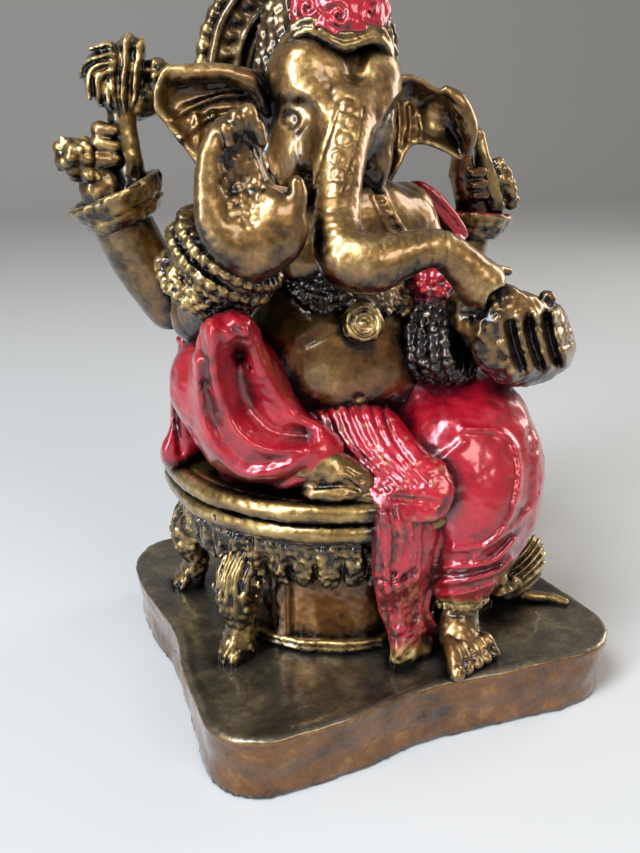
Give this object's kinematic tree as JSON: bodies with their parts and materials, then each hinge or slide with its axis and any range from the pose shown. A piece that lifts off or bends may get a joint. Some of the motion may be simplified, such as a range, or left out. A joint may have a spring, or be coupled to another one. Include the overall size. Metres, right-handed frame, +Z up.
{
  "type": "seated ganesha figurine",
  "caption": "Seated four-armed elephant-headed figurine on a round throne and a square plinth, cast in one and hand-painted antique gold and red.",
  "frame": {"origin": "centre of the plinth's underside, on the surface that the figurine stands on", "axes": "+Z up, the figure looks towards -Y, its left hand side is +X"},
  "size_m": [0.1016, 0.086, 0.156],
  "materials": {
    "antique_gold": "metallic gold paint rubbed over dark brown, clear varnish",
    "bronze_patina": "bronze-brown metallic paint with olive-black patina, clear varnish",
    "dark_silver_patina": "dark pewter-brown metallic paint with bright rubbed edges, clear varnish",
    "red_lacquer": "thick glossy red enamel with dark crevices"
  },
  "bodies": {
    "root": {"belly": "bronze_patina", "chest": "antique_gold", "crown_lower_tier": "antique_gold", "crown_plaque": "red_lacquer", "crown_upper_tier": "antique_gold", "ear_left": "antique_gold", "ear_right": "antique_gold", "goad_blade": "antique_gold", "halo_bead_ring": "antique_gold", "halo_disc": "dark_silver_patina", "head": "antique_gold", "headband": "antique_gold", "hips": "red_lacquer", "lap_sash": "red_lacquer", "left_anklet": "antique_gold", "left_foot": "antique_gold", "left_front_bracelet": "dark_silver_patina", "left_front_forearm": "antique_gold", "left_front_hand": "antique_gold", "left_front_upper_arm": "antique_gold", "left_rear_cuff": "antique_gold", "left_rear_forearm": "antique_gold", "left_rear_hand": "antique_gold", "left_rear_upper_arm": "antique_gold", "left_shin_cloth": "red_lacquer", "left_thigh_cloth": "red_lacquer", "lotus_sceptre": "antique_gold", "medallion": "antique_gold", "mouse_body": "antique_gold", "mouse_head": "antique_gold", "mouse_tail": "antique_gold", "necklace": "dark_silver_patina", "plinth": "bronze_patina", "right_foot": "antique_gold", "right_front_bracelet": "antique_gold", "right_front_forearm": "antique_gold", "right_front_hand": "antique_gold", "right_front_upper_arm": "antique_gold", "right_rear_cuff": "antique_gold", "right_rear_forearm": "antique_gold", "right_rear_hand": "antique_gold", "right_rear_upper_arm": "antique_gold", "right_shin_cloth": "red_lacquer", "right_thigh_cloth": "red_lacquer", "right_tusk": "antique_gold", "sash_tail": "red_lacquer", "seat_core": "antique_gold", "seat_rim_lower": "antique_gold", "seat_rim_upper": "antique_gold", "shoulder_shawl": "red_lacquer", "side_scarf": "red_lacquer", "sweets": "antique_gold", "throne_drum": "bronze_patina", "throne_foot_moulding": "antique_gold", "throne_leaf_fringe": "antique_gold", "throne_legs_back": "antique_gold", "throne_legs_front": "antique_gold", "throne_top_moulding": "antique_gold", "trunk_root": "antique_gold", "trunk_tip": "antique_gold"}
  },
  "joints": []
}
